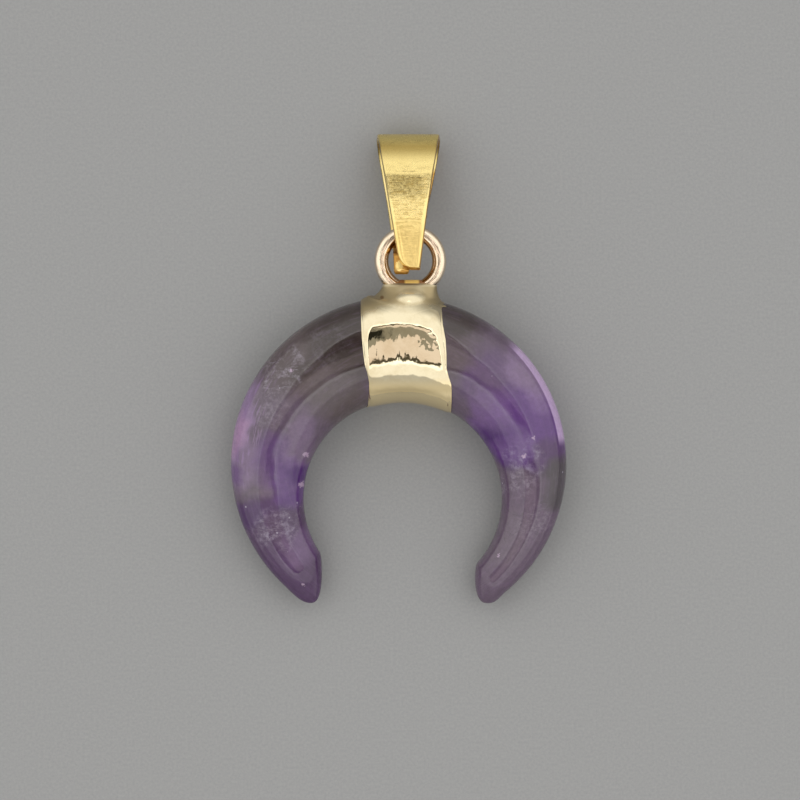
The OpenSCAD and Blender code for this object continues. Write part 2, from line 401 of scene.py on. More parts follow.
def new_group(name, kind, inputs):
    """A shader or geometry node group with named inputs, each a socket type and a starting value."""
    made = bpy.data.node_groups.new(name, f"{kind}NodeTree")
    for label, (socket_type, value) in inputs.items():
        socket = made.interface.new_socket(label, in_out="INPUT", socket_type=f"NodeSocket{socket_type}")
        if value is not None:
            socket.default_value = value
    label, socket_type = GROUP_RESULTS[kind]
    made.interface.new_socket(label, in_out="OUTPUT", socket_type=f"NodeSocket{socket_type}")
    return made, {s.name: Wire(s) for s in put(made, "NodeGroupInput").outputs if s.name}


def end_shape(tree, given, shape, dent_scale, dent_detail):
    """Ends a geometry group: an uneven skin, laid down, smooth, real, with its material."""
    dents = Wire(put(tree, "ShaderNodeTexNoise", {"Scale": dent_scale, "Detail": dent_detail})) - 0.5
    shove = Wire(put(tree, "GeometryNodeInputNormal")) * (dents * given["Unevenness"])
    shape = put(tree, "GeometryNodeSetPosition", {0: shape, "Offset": shove})
    laid = {0: shape, "Translation": given["Place"], "Rotation": join(tree, given["Tilt"])}
    shape = put(tree, "GeometryNodeTransform", laid)
    shape = put(tree, "GeometryNodeSetShadeSmooth", {0: shape})
    shape = put(tree, "GeometryNodeRealizeInstances", {0: shape})
    shape = put(tree, "GeometryNodeSetMaterial", {0: shape, "Material": given["Material"]})
    put(tree, "NodeGroupOutput", {0: shape})


def grow_piece(piece, tree, values):
    """Runs a geometry group on a piece with these input values and keeps the mesh that comes out."""
    modifier = piece.modifiers.new(tree.name, "NODES")
    modifier.node_group = tree
    for item in tree.interface.items_tree:
        if item.item_type == "SOCKET" and item.in_out == "INPUT" and item.name in values:
            modifier[item.identifier] = values[item.name]
    graph = bpy.context.evaluated_depsgraph_get()
    mesh = bpy.data.meshes.new_from_object(piece.evaluated_get(graph), depsgraph=graph)
    piece.modifiers.remove(modifier)
    piece.data = mesh


def settle(piece, *nodes, slot):
    """Attaches a finished piece to the root body and hides the imported parts it stands in for."""
    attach(piece, "root")
    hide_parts(*nodes)


def leaned_normal(tree, y, z=0.0):
    """The shading normal, leaned so much towards the far side and up."""
    normal = Wire(put(tree, "ShaderNodeNewGeometry").outputs["Normal"])
    return (normal + join(tree, y=y, z=z)).node("NORMALIZE")


# Colours of the stone's zones
SMOKE = (0.040, 0.028, 0.026)
UMBER = (0.090, 0.068, 0.072)
SLATE = (0.062, 0.053, 0.062)
DUSK = (0.112, 0.080, 0.120)
HAZE = (0.165, 0.140, 0.165)
PURPLE = (0.108, 0.044, 0.188)
DEEP_PURPLE = (0.050, 0.008, 0.115)
LILAC = (0.27, 0.18, 0.34)
RIM_GLOW_LILAC = (0.52, 0.38, 0.62)
PINK = (0.34, 0.21, 0.36)
BROWN_VIOLET = (0.114, 0.078, 0.124)
PLUM = (0.074, 0.036, 0.098)
VEIL = (0.40, 0.37, 0.46)
CHIP_PINK = (0.50, 0.38, 0.52)
# Noise scale and size in mm of the two warps that bend the zones
WARPS = ((0.28, 2.6), (1.1, 0.8))
# Where the horns' lower half leans its reflections, and how much
LEAN_SPAN = (-6.5, -12.0)
LEAN = 0.075

amethyst, tree, shader, place = new_material("amethyst")
warped = place
for warp_scale, warp_size in WARPS:
    warped = warped + (noise(place, warp_scale, 2.0, output=1) - (0.5, 0.5, 0.5)) * warp_size


def polar(point):
    """Turn in degrees and distance from the crescent's middle, as it is laid."""
    x, y, _ = split(point)
    far = y + LIE_BACK
    return x.node("ARCTAN2", x, far).node("DEGREES"), (x * x + far * far).node("SQRT")


turn, radius = polar(warped)
true_turn, true_radius = polar(place)

ZONE_INPUTS = ("Turn", "Radius", "Middle turn", "Turn reach", "Middle radius", "Radius reach", "Edge")
zone, given = new_group("colour_zone", "Shader", {label: ("Float", 0.0) for label in ZONE_INPUTS})
turn_off = (given["Turn"] - given["Middle turn"]) / given["Turn reach"]
radius_off = (given["Radius"] - given["Middle radius"]) / given["Radius reach"]
zone_off = turn_off * turn_off + radius_off * radius_off
put(zone, "NodeGroupOutput", {0: step_up(zone_off, given["Edge"] + 1.0, 1.0 - given["Edge"])})


def zone_mask(*oval_patch, edge=0.75):
    """1 inside an oval patch of the stone, 0 outside: middle turn, turn reach, middle radius, its reach."""
    values = dict(zip(ZONE_INPUTS, (turn, radius, *oval_patch, edge)))
    return Wire(put(turn.tree, "ShaderNodeGroup", values, node_tree=zone))


# colour, strength, middle turn, turn reach, middle radius, radius reach
ZONES = (
    (BROWN_VIOLET, 1.0, 124, 32, 12, 9),
    (HAZE, 0.35, 126, 14, 11.4, 2.0),
    (PLUM, 1.0, -138, 22, 12, 9),
    (HAZE, 0.25, -99, 7, 13.2, 3.6),
    (LILAC, 0.2, -100, 6, 10.4, 1.6),
    (PLUM, 0.85, -111, 8.5, 12.5, 9),
    (DEEP_PURPLE, 0.35, -109, 5, 12.5, 9),
    (LILAC, 0.30, -130, 8, 11.3, 2.2),
    (PURPLE, 0.6, -87, 11, 11.4, 1.6),
    (PURPLE, 0.8, -100, 14, 9.2, 1.8),
    (DEEP_PURPLE, 0.7, -96, 5, 8.7, 1.0),
    (LILAC, 0.4, -90, 9, 14.2, 1.8),
    (PURPLE, 0.5, -93, 4, 14.8, 0.9),
    (PURPLE, 1.0, 70, 18, 10.4, 3.2),
    (DEEP_PURPLE, 0.9, 77, 13, 9.5, 2.2),
    (PURPLE, 1.0, 76, 15, 12.8, 2.6),
    (PURPLE, 1.0, 82, 8, 11.8, 4.0),
    (PURPLE, 0.4, 46, 14, 11.0, 2.6),
    (LILAC, 0.25, 60, 12, 9.6, 1.5),
    (LILAC, 0.30, -76, 14, 9.0, 1.4),
    (LILAC, 0.50, 56, 13, 14.2, 1.8),
    # the next two rows: a pale lilac and pink rim along the left outer edge, painted light shining through
    # the thin edge
    (LILAC, 0.8, -74, 15, 15.1, 1.2),
    (PINK, 0.9, -80, 7, 15.2, 1.1),
    (PLUM, 0.8, 88, 8, 13.4, 1.6),
    (SLATE, 0.9, 97, 9, 14.6, 1.9),
    (HAZE, 0.25, -60, 14, 13.0, 2.0),
    (UMBER, 1.0, -38, 20, 12.0, 9.0),
    (HAZE, 0.25, -42, 20, 9.2, 1.5),
    (SMOKE, 0.6, -40, 12, 12.0, 0.8),
    (SMOKE, 1.0, -16, 20, 12.6, 4.0),
    (UMBER, 0.7, 24, 12, 11.0, 3.0),
    (SMOKE, 0.9, 20, 11, 14.2, 2.0),
)
colour = DUSK
for zone_colour, strength, *oval_patch in ZONES:
    colour = blend(zone_mask(*oval_patch) * strength, colour, zone_colour)

# A pale rim on the right, sharply bounded: painted light shining through the thin edge
rim = step_up(true_radius, 14.32, 14.42) * between(true_turn, 42, 48, 80, 84)
colour = blend(rim * 0.8, colour, RIM_GLOW_LILAC)

# Veils of tiny bubbles: strength, middle turn, turn reach, middle radius, radius reach
VEILS = (
    (0.12, -33, 12, 12.2, 1.6),
    (0.65, -52, 9, 13.0, 1.6),
    (0.25, -66, 9, 12.6, 1.4),
    (0.40, -115, 5, 11.8, 2.4),
    (0.50, -121, 5, 12.6, 1.4),
    (0.50, 88, 9, 11.2, 1.6),
    (0.35, 98, 7, 10.4, 1.6),
    (0.20, 112, 8, 13.2, 1.4),
)
CRACK_TURN = radians(38)
veil = 0.0
for strength, *oval_patch in VEILS:
    veil = larger(zone_mask(*oval_patch, edge=0.8) * strength, veil)
grains = noise(place, 2.2, 6.0, 0.72)
cloud = noise(warped, 0.8, 3.0)
slanting = {"Vector": place, "Rotation": (0, 0, CRACK_TURN), "Scale": (0.35, 2.4, 1.0)}
cracks = noise(Wire(put(tree, "ShaderNodeMapping", slanting)), 1.1, 5.0, 0.7)
grain_mask = step_up(grains, 0.38, 0.72) * step_up(cloud, 0.36, 0.60)
crack_mask = step_up(cracks, 0.56, 0.72) * 0.9
colour = blend(veil * larger(grain_mask, crack_mask), colour, VEIL)

# Flecks: small bright flaws seen edge on, in the same places and thinly elsewhere
fleck_cells = put(tree, "ShaderNodeTexVoronoi", {"Vector": place, "Scale": 1.1, "Randomness": 1.0})
fleck_near = step_up(Wire(fleck_cells.outputs["Distance"]), 0.13, 0.05)
fleck_pick = split(Wire(fleck_cells.outputs["Color"]))[0]
fleck = fleck_near * fleck_pick.node("LESS_THAN", fleck_pick, veil * 0.7 + 0.08)
colour = blend(fleck * 0.8, colour, VEIL)

# Bright chips: place on the card and reach, mm
CHIPS = (
    (-8.2, -7.6, 0.28),
    (-8.65, -10.3, 0.26),
    (-9.5, -0.2, 0.16),
    (11.1, -7.7, 0.22),
    (12.0, -6.2, 0.18),
    (-8.5, -19.3, 0.12),
    (8.9, -16.6, 0.16),
)
CHIP_WARP = 0.7
chip_place = (place + noise(place, 4.0, 3.0, output=1) * CHIP_WARP) * (1, 1, 0)
for chip_x, chip_y, reach in CHIPS:
    chip_middle = (chip_x + CHIP_WARP / 2, chip_y + CHIP_WARP / 2, 0.0)
    chip_off = chip_place.node("DISTANCE", chip_place, chip_middle)
    colour = blend(step_up(chip_off, reach * 1.2, reach * 0.6) * 0.65, colour, CHIP_PINK)

# Growth streaks: fine lines that follow the outer edge
streaks = noise(join(tree, true_turn * 0.12, true_radius * 5.0), 1.0, 3.0)
streak_zone = zone_mask(-75, 20, 14.4, 1.8) * 0.5 + 0.06
colour = blend(step_up(streaks, 0.52, 0.64) * streak_zone, colour, LILAC)

# Thin dark healed cracks in the right horn
hair_line = step_up(abs(noise(warped, 0.32, 1.5) - 0.5), 0.006, 0.002)
colour = blend(hair_line * zone_mask(108, 22, 12.0, 2.5) * 0.35, colour, SLATE)

feed(shader, {
    "Base Color": colour * (grains * 0.7 + 0.65),
    "Normal": leaned_normal(tree, step_up(split(place)[1], *LEAN_SPAN) * LEAN),
    "Roughness": 0.08, "IOR": 1.52, "Specular IOR Level": 0.55,
    "Subsurface Weight": 0.35, "Subsurface Radius": (1.0, 0.8, 1.2), "Subsurface Scale": 0.8 * MM,
})

tree, given = new_group("crescent_from_sections", "Geometry", {
    "Geometry": ("Geometry", None), "Points round": ("Int", POINTS_ROUND), "Roundness": ("Float", ROUNDNESS),
    "Tilt": ("Float", 0.0), "Place": ("Vector", (0, 0, 0)), "Unevenness": ("Float", 0.0),
    "Material": ("Material", None),
})
crescent_tree = tree
count = put(tree, "GeometryNodeAttributeDomainSize", {0: given["Geometry"]}).outputs["Point Count"]
columns = given["Points round"] + 1
grid = {"Size X": 1.0, "Size Y": 1.0, "Vertices X": count, "Vertices Y": columns}
net = put(tree, "GeometryNodeMeshGrid", grid)
number = Wire(put(tree, "GeometryNodeInputIndex"))
row = ((number + 0.5) / columns).node("FLOOR")
angle = (number - row * columns) * (2 * pi) / given["Points round"]
power = 2.0 / given["Roundness"]


def swollen(wave):
    """A cosine or sine swollen towards a squarer oval."""
    return abs(wave) ** power * wave.node("SIGN")


def at_row(kind, field):
    """A value of the section that belongs to this row."""
    values = {0: given["Geometry"], "Value": field, "Index": row}
    return Wire(put(tree, "GeometryNodeSampleIndex", values, data_type=kind, domain="POINT"))


def stored(kind, name):
    """A value that is stored with the sections."""
    return at_row(kind, put(tree, "GeometryNodeInputNamedAttribute", {"Name": name}, data_type=kind))


middle = at_row("FLOAT_VECTOR", put(tree, "GeometryNodeInputPosition"))
flat_part = stored("FLOAT_VECTOR", "reach") * swollen(angle.node("COSINE"))
rise_part = stored("FLOAT", "depth") * swollen(angle.node("SINE"))
spot = middle + flat_part + join(tree, z=rise_part)
skin = put(tree, "GeometryNodeSetPosition", {0: net, "Position": spot})
skin = put(tree, "GeometryNodeMergeByDistance", {0: skin, "Distance": MERGE})
end_shape(tree, given, skin, 330.0, 1.0)

crescent = add_piece("crescent", spine_mesh)
grow_piece(crescent, crescent_tree, {
    "Points round": POINTS_ROUND, "Roundness": ROUNDNESS, "Tilt": radians(LIE_TILT),
    "Place": (0.0, -LIE_BACK * MM, LIE_LIFT * MM), "Unevenness": 0.03 * MM, "Material": amethyst,
})
settle(crescent, "stone", slot="stone")

# The cap's band
# A thin band of pale gold plating grown round the middle of the stone. Its edges wander a little and
# it is slightly rippled, with a sharp spur at the top right.
FOIL_GAP = 0.03
FOIL_EDGE = 0.06
CROWN_RISE = 0.15
CROWN_MID = CAP_SIDE - 0.08
CROWN_HALF = 3.45
RIPPLE = 0.006
BAND_ALONG = 96
BAND_ROUND = 300
BAND_INSIDE = 14
SPUR_TURN = 0.30
SPUR_WIDE = 0.06
SPUR_LONG = 0.42
BACK_WANDERS = 0.4
# place across the band (1 at the crescent's outer edge), left edge and right edge moved by, mm
EDGE_TABLE = np.array([
    (-1.00, -0.40, 0.00),
    (-0.96, -0.20, 0.02),
    (-0.76, -0.03, 0.14),
    (-0.50, 0.12, 0.24),
    (-0.40, 0.09, 0.25),
    (-0.27, 0.00, 0.08),
    (-0.13, -0.12, -0.04),
    (0.13, -0.16, 0.06),
    (0.38, -0.17, 0.10),
    (0.65, -0.12, -0.03),
    (0.93, -0.05, 0.00),
    (1.00, -0.02, 0.02),
])


def oval(angle, power=2 / ROUNDNESS):
    """Across and depth shares of a section's point."""
    c, s = np.cos(angle), np.sin(angle)
    return np.sign(c) * np.abs(c) ** power, np.sign(s) * np.abs(s) ** power


def band_height(aside, share):
    """Height of the plating over the stone, at a place of the band and its share from edge to edge."""
    crown = np.maximum(0, 1 - np.abs((aside - CROWN_MID) / CROWN_HALF) ** 6)
    edge = np.maximum(0, 1 - np.abs(share) ** 14)
    return FOIL_GAP + FOIL_EDGE * np.sqrt(edge) + CROWN_RISE * np.sqrt(crown)


def waves(x, y):
    """Shallow dents and swells, between about -1 and 1."""
    return (
        0.45 * np.sin(2.9 * x + 1.3 * y + 0.6) * np.sin(2.3 * y - 0.8 * x + 1.9)
        + 0.35 * np.sin(5.2 * x - 2.4 * y + 2.2) * np.sin(4.1 * y + 1.7 * x)
        + 0.20 * np.sin(8.7 * x + 3.9 * y) * np.sin(7.9 * y - 3.1 * x + 0.7)
    )


def band_point(aside, angle, height):
    """A point over the stone's skin under the cap, in the crescent's own plane."""
    middle, reach = cut(CAP_SKEW, aside)
    across, deep = oval(angle)
    flat = middle + outward(CAP_SKEW) * (reach + height) * across
    return np.array([flat[0], flat[1], (half_depth(CAP_SKEW) + height) * deep])


def laid_down(points):
    """From the crescent's own plane to the card, in metres."""
    c, s = cos(radians(LIE_TILT)), sin(radians(LIE_TILT))
    x, y, z = np.moveaxis(np.asarray(points, float), -1, 0)
    return np.stack([x, y * c - z * s - LIE_BACK, y * s + z * c + LIE_LIFT], axis=-1) * MM


def edge_at(across, front, column):
    """How far an edge of the band wanders at a place; the hidden back wanders less."""
    shift = np.interp(across, EDGE_TABLE[:, 0], EDGE_TABLE[:, column])
    return shift if front else BACK_WANDERS * shift


def mesh_of(name, points, faces, material):
    """A smooth mesh with its doubled points merged and its faces turned outwards."""
    mesh = bpy.data.meshes.new(name)
    mesh.from_pydata([tuple(p) for p in points], [], faces)
    mesh.materials.append(material)
    work = bmesh.new()
    work.from_mesh(mesh)
    bmesh.ops.remove_doubles(work, verts=work.verts, dist=MERGE)
    bmesh.ops.recalc_face_normals(work, faces=work.faces)
    work.to_mesh(mesh)
    work.free()
    mesh.update()
    mesh.shade_smooth()
    return mesh


def net_faces(rows, columns, rows_closed, columns_closed):
    """Faces of a net of points, row by row."""
    faces = []
    for j in range(rows if rows_closed else rows - 1):
        for i in range(columns if columns_closed else columns - 1):
            a, b = j * columns, ((j + 1) % rows) * columns
            k = (i + 1) % columns
            faces.append((a + i, a + k, b + k, b + i))
    return faces


shares = np.sin(np.linspace(-pi / 2, pi / 2, BAND_ALONG))
inner_shares = np.linspace(0.97, -0.97, BAND_INSIDE)
rows = []
for i in range(BAND_ROUND):
    angle = 2 * pi * i / BAND_ROUND
    across, deep = oval(angle)
    low = CAP_SIDE - CAP_WIDTH / 2 + edge_at(across, deep >= 0, 1)
    high = CAP_SIDE + CAP_WIDTH / 2 + edge_at(across, deep >= 0, 2)
    high += SPUR_LONG * np.exp(-(((angle - SPUR_TURN) / SPUR_WIDE) ** 2))
    row = []
    for share in shares:
        aside = low + (high - low) * (share + 1) / 2
        ripple = RIPPLE * waves(aside, 4.6 * across) * (1 - share**8)
        row.append(band_point(aside, angle, band_height(aside, share) + ripple))
    row += [band_point(low + (high - low) * (share + 1) / 2, angle, FOIL_GAP * 0.6) for share in inner_shares]
    rows.append(row)

PALE_GOLD = (0.76, 0.675, 0.475)
PALE_TARNISH = (0.60, 0.49, 0.30)
SOLDER_OLIVE = (0.47, 0.38, 0.22)
LOW_LIT_GOLD = (0.88, 0.72, 0.42)
LOWEST_LIT_GOLD = (1.0, 0.83, 0.50)
SLOPE_REFLECTION_OLIVE = (0.55, 0.47, 0.29)
HOLE_BROWN = (0.30, 0.13, 0.04)
HOLE_HIGHLIGHT_YELLOW = (1.0, 0.68, 0.20)
SPOT_BROWN = (0.30, 0.19, 0.09)
# Places on the card, mm
BROWN_SPOT = (-1.48, 6.33, 0.0)
SOLDER_DROP = (1.08, 6.27)
DROP_HIGHLIGHT = (1.2, 0.50)
SOLDER_SPAN = (5.7, 6.5)
LOW_SPAN = (-0.7, -1.8)
LOWEST_SPAN = (-1.9, -2.4)
SLOPE_SPAN = (6.50, 6.72, 7.35, 7.52)
NECK_TOP_LIGHT_SPAN = (7.2, 7.45)
HOLE_SPAN = (7.54, 7.62)
HOLE_MIDDLE = 1.17
SAG_SPAN = (0.3, 1.6, 2.8, 3.4)
LUMP_SPAN = (1.4, 1.6, 3.0, 3.3)
LUMP_SIDE = (1.0, 1.6)


def new_pattern(name, *labels):
    """A shader group that makes one mask or height from a place in millimetres and some numbers."""
    inputs = {"Place": ("Vector", None), **{label: ("Float", 0.0) for label in labels}}
    return new_group(name, "Shader", inputs)


def effect(group, place, **values):
    """A shader group at work on a place."""
    return Wire(put(place.tree, "ShaderNodeGroup", {"Place": place, **values}, node_tree=group))


# Blotches of dulled metal, more of them as Amount rises
tarnish_group, given = new_pattern("tarnish", "Scale", "Amount")
low = 0.85 - given["Amount"]
blotches = noise(given["Place"], given["Scale"], 5.0, 0.62)
put(tarnish_group, "NodeGroupOutput", {0: step_up(blotches, low, low + 0.3)})

# Fine rubbed scratches that run two ways
scratch_group, given = new_pattern("rubbed_scratches", "Scale", "Amount")
scratches = 0.0
for squeeze in ((1.0, 0.07, 0.3), (0.12, 1.0, 0.3)):
    bands = noise(given["Place"] * squeeze, given["Scale"], 4.0, 0.7)
    scratches = larger(step_up(bands, 0.56, 0.72), scratches)
put(scratch_group, "NodeGroupOutput", {0: scratches * given["Amount"]})

# Shallow swells left by plating and polishing
ripple_group, given = new_pattern("plating_ripple", "Scale")
put(ripple_group, "NodeGroupOutput", {0: noise(given["Place"], given["Scale"], 2.0, 0.45)})

pale_gold, tree, shader, place = new_material("pale_gold")
x, y, _ = split(place)
tarnish = effect(tarnish_group, place, Scale=0.55, Amount=0.45)
rubbed = effect(scratch_group, place, Scale=5.0, Amount=0.5)
colour = blend(tarnish * 0.5, PALE_GOLD, PALE_TARNISH)
# Lighter towards the band's bottom edge: painted light that brightens the card's reflection there
colour = blend(step_up(y, *LOW_SPAN), colour, LOW_LIT_GOLD)
colour = blend(step_up(y, *LOWEST_SPAN), colour, LOWEST_LIT_GOLD)
# The solder is dull; an oval on its drop keeps the pale colour and shine, placed where its highlight falls, a
# painted highlight
from_drop = x - SOLDER_DROP[0]
solder_place = noise(place, 1.2, 2.0) * 0.8 + (from_drop * from_drop * 0.05 + y)
drop_wide = from_drop / DROP_HIGHLIGHT[0]
drop_high = (y - SOLDER_DROP[1]) / DROP_HIGHLIGHT[1]
drop_off = drop_wide * drop_wide + drop_high * drop_high
soldered = step_up(solder_place, *SOLDER_SPAN) * (1.0 - step_up(drop_off, 1.5, 0.4) * 0.85)
colour = blend(soldered, colour, SOLDER_OLIVE)
# The neck's top is painted lighter: painted light over the dark shadow line under the ring's foot
colour = blend(step_up(y, *NECK_TOP_LIGHT_SPAN) * 0.7, colour, PALE_GOLD)
on_card = join(tree, x, y)
colour = blend(step_up(on_card.node("DISTANCE", on_card, BROWN_SPOT), 0.22, 0.10), colour, SPOT_BROWN)
# The slope over the drop is less metallic and painted pale olive: a painted reflection of the card, in place
# of the ring's and bail's brown reflection
over_drop = between(y, *SLOPE_SPAN) * step_up(abs(from_drop), 1.5, 0.7)
colour = blend(over_drop * 0.7, colour, SLOPE_REFLECTION_OLIVE)
# The solder inside the ring's foot is orange-brown at its sides, with a painted yellow highlight in its
# middle
in_hole = step_up(y, *HOLE_SPAN)
hole_colour = blend(step_up(abs(x - HOLE_MIDDLE), 0.75, 0.5), HOLE_BROWN, HOLE_HIGHLIGHT_YELLOW)
colour = blend(in_hole, colour, hole_colour)
# The plating sags in lobes on the middle of the band, with a few lumps to the right
sags = noise(place * (1.0, 0.12, 0.12), 1.7, 2.5, 0.6) - 0.5
sag = sags * 0.42 * (between(y, *SAG_SPAN) * 0.94 + 0.06)
lumps = step_up(noise(place, 1.5, 2.0), 0.545, 0.575) * step_up(x, *LUMP_SIDE) * between(y, *LUMP_SPAN)
sagged = leaned_normal(tree, sag + lumps * 0.10, in_hole)
rippled = bumped(effect(ripple_group, place, Scale=1.4), 0.006, normal=sagged)
feed(shader, {
    "Base Color": colour,
    "Metallic": 1.0 - in_hole * 0.85 - over_drop * 0.6,
    "Roughness": soldered * 0.36 + tarnish * 0.03 + rubbed * 0.04 + 0.025,
    "Normal": bumped(rubbed, 0.004, 0.25, rippled),
})

band_points = laid_down(rows).reshape(-1, 3)
band_mesh = mesh_of("cap_band", band_points, net_faces(BAND_ROUND, len(rows[0]), True, True), pale_gold)
cap_band = add_piece("cap_band", band_mesh)
settle(cap_band, "cap", slot="pale_gold")

# The cap's neck
# Solder and plating drawn up from the band to the ring's foot, with one round drop of solder on its front.
NECK_ROUND = 160
NECK_LONG = 60
# on the band (1) or at a height (0), middle, half width, half depth, lift or height, mm
NECK_ROWS = np.array([
    (1, 0.42, 3.66, 3.20, -0.02),
    (1, 0.43, 3.60, 3.00, 0.002),
    (1, 0.45, 3.50, 2.80, 0.015),
    (1, 0.48, 3.38, 2.60, 0.045),
    (1, 0.52, 3.24, 2.38, 0.11),
    (0, 0.62, 2.98, 2.02, 14.97),
    (0, 0.83, 2.63, 1.64, 15.40),
    (0, 0.95, 2.46, 1.30, 15.80),
    (0, 1.00, 2.40, 1.00, 16.12),
    (0, 1.02, 2.34, 0.66, 16.30),
    (0, 1.03, 2.10, 0.25, 16.46),
    (0, 1.04, 1.20, 0.05, 16.50),
    (0, 1.04, 0.00, 0.00, 16.50),
])
# the drop of solder: its middle, half its width and height, its rise and the way it faces
SOLDER_MIDDLE = np.array([1.12, 15.20, 1.80])
DROP_HALF_WIDE = 1.5
DROP_HALF_HIGH = 0.85
SOLDER_RISE = 0.13
SOLDER_WAY = np.array([0.0, 0.64, 0.77])
DROP_UP = np.array([0.0, 0.77, -0.64])


def band_top(x, z):
    """Height of the band's outer skin above the crescent's middle, at a place of its upper side."""
    aside = x * cos(radians(CAP_SKEW)) - MOON_R * sin(radians(CAP_SKEW))
    for _ in range(3):
        middle, reach = cut(CAP_SKEW, aside)
        height = band_height(aside, (aside - CAP_SIDE) / (CAP_WIDTH / 2))
        room = max(0, 1 - (abs(z) / (half_depth(CAP_SKEW) + height)) ** ROUNDNESS)
        flat = middle + outward(CAP_SKEW) * (reach + height) * room ** (1 / ROUNDNESS)
        aside += (x - flat[0]) * cos(radians(CAP_SKEW))
    return flat[1]


def through(rows, share):
    """A smooth curve through rows of values (Catmull-Rom)."""
    place = share * (len(rows) - 1)
    k = min(int(place), len(rows) - 2)
    t = place - k
    a, b, c, d = rows[max(k - 1, 0)], rows[k], rows[k + 1], rows[min(k + 2, len(rows) - 1)]
    return 0.5 * (2 * b + (c - a) * t + (2 * a - 5 * b + 4 * c - d) * t**2 + (3 * b - a - 3 * c + d) * t**3)


neck_lines = []
for i in range(NECK_ROUND):
    a = 2 * pi * i / NECK_ROUND
    line = []
    for on_band, middle, wide, deep, level in NECK_ROWS:
        px, pz = middle + wide * cos(a), deep * sin(a)
        line.append((px, band_top(px, pz) + level if on_band else level, pz))
    line = np.array(line)
    line = np.array([through(line, s) for s in np.linspace(0, 1, NECK_LONG)])
    off = line - SOLDER_MIDDLE
    drop_off = (off[:, 0] / DROP_HALF_WIDE) ** 2 + (off @ DROP_UP / DROP_HALF_HIGH) ** 2
    near = np.maximum(0, 1 - drop_off) ** 1.5 * (line[:, 2] > 0)
    neck_lines.append(line + SOLDER_WAY * SOLDER_RISE * near[:, None])
neck_points = laid_down(neck_lines).reshape(-1, 3)
neck_mesh = mesh_of("cap_neck", neck_points, net_faces(NECK_ROUND, NECK_LONG, True, False), pale_gold)
cap_neck = add_piece("cap_neck", neck_mesh)
settle(cap_neck, "cap", slot="pale_gold")

# The ring
# A closed ring of round wire, soldered upright on the neck. Its plating is pinker than the cap's.
RING_RADIUS = 2.575
WIRE_RADIUS = 0.625
RING_PLACE = laid_down((1.04, 18.2, 0.0))
PINK_GOLD = (0.94, 0.79, 0.60)
PINK_TARNISH = (0.56, 0.41, 0.26)
REFLECTION_LINE_BROWN = (0.13, 0.085, 0.05)
INNER_REFLECTION_ORANGE = (0.50, 0.27, 0.09)
# How far the painted dark reflection lines on the wire's top reach from its middle, and where its inner side
# turns orange, a painted reflection of the bail, mm
REFLECTION_LINE_SPAN = (0.26, 0.10)
INNER_REFLECTION_SPAN = (RING_RADIUS - 0.36, RING_RADIUS - 0.52)

pink_gold, tree, shader, place = new_material("pink_gold")
x, y, z = split(place - tuple(RING_PLACE / MM))
out = join(tree, x, y / cos(radians(LIE_TILT))).node("LENGTH")
unrolled = join(tree, x.node("ARCTAN2", x, y) * 1.3, out * 7.0, z)
drawn = noise(unrolled, 1.6, 5.0, 0.7)
# Thin dark lines on the wire's top: painted reflection edges, made rougher too
reflection_lines = step_up(drawn, 0.47, 0.56) * step_up(abs(out - RING_RADIUS), *REFLECTION_LINE_SPAN)
tarnish = effect(tarnish_group, place, Scale=0.9, Amount=0.4)
rubbed = effect(scratch_group, place, Scale=4.0, Amount=0.6)
colour = blend(tarnish * 0.5, PINK_GOLD, PINK_TARNISH)
colour = blend(reflection_lines * 0.8, colour, REFLECTION_LINE_BROWN)
# The inner side turns orange: a painted reflection of the bail
colour = blend(step_up(out, *INNER_REFLECTION_SPAN), colour, INNER_REFLECTION_ORANGE)
feed(shader, {
    "Base Color": colour, "Metallic": 1.0, "Roughness": reflection_lines * 0.25 + rubbed * 0.15 + 0.12,
    "Normal": bumped(drawn, 0.02, 0.5),
})

ring_tree, given = new_group("wire_ring", "Geometry", {
    "Geometry": ("Geometry", None), "Ring radius": ("Float", RING_RADIUS * MM),
    "Wire radius": ("Float", WIRE_RADIUS * MM), "Unevenness": ("Float", 0.0), "Tilt": ("Float", 0.0),
    "Place": ("Vector", (0, 0, 0)), "Material": ("Material", None),
})
path = put(ring_tree, "GeometryNodeCurvePrimitiveCircle", {"Resolution": 160, "Radius": given["Ring radius"]})
wire = put(ring_tree, "GeometryNodeCurvePrimitiveCircle", {"Resolution": 48, "Radius": given["Wire radius"]})
tube = put(ring_tree, "GeometryNodeCurveToMesh", {0: path, 1: wire})
end_shape(ring_tree, given, tube, 900.0, 2.0)

ring = add_piece("cap_ring", bpy.data.meshes.new("cap_ring"))
grow_piece(ring, ring_tree, {
    "Ring radius": RING_RADIUS * MM, "Wire radius": WIRE_RADIUS * MM, "Unevenness": 0.03 * MM,
    "Tilt": radians(LIE_TILT), "Place": tuple(RING_PLACE), "Material": pink_gold,
})
settle(ring, "cap", slot="pale_gold")

# The bail
# One tapered strip of yellow gold plated brass, folded over at its wide end. Its two legs are pinched
# together below the ring's wire and the back leg ends in a small curl. Its edges are bevelled.
BAIL_TOP_W = 5.6
FRONT_END_W = 1.75
BACK_END_W = 1.3
BAIL_T = 0.5
BAIL_REACH = 7.1
FOLD_R = 2.05
FRONT_TAIL = 3.5
BACK_EXTRA = 0.25
FRONT_LEAN = 0.15
BACK_LEAN = -0.61
BAIL_ASIDE = -0.17
CURL_RISE = 0.2
CORNER_W = 0.8
CORNER_L = 1.2
LEG_RISE = 0.2
PINCH_GAP = 0.06
BAIL_DROP = 0.22
WIRE_HALF = WIRE_RADIUS + BAIL_DROP + 0.05 + BAIL_T / 2
APART = -1.1
PINCH = -2.5
BAIL_LENGTH = BAIL_REACH + FOLD_R + FRONT_TAIL
BAIL_SLOPE = radians(20.778)
SLOPE_COS, SLOPE_SIN = cos(BAIL_SLOPE), sin(BAIL_SLOPE)
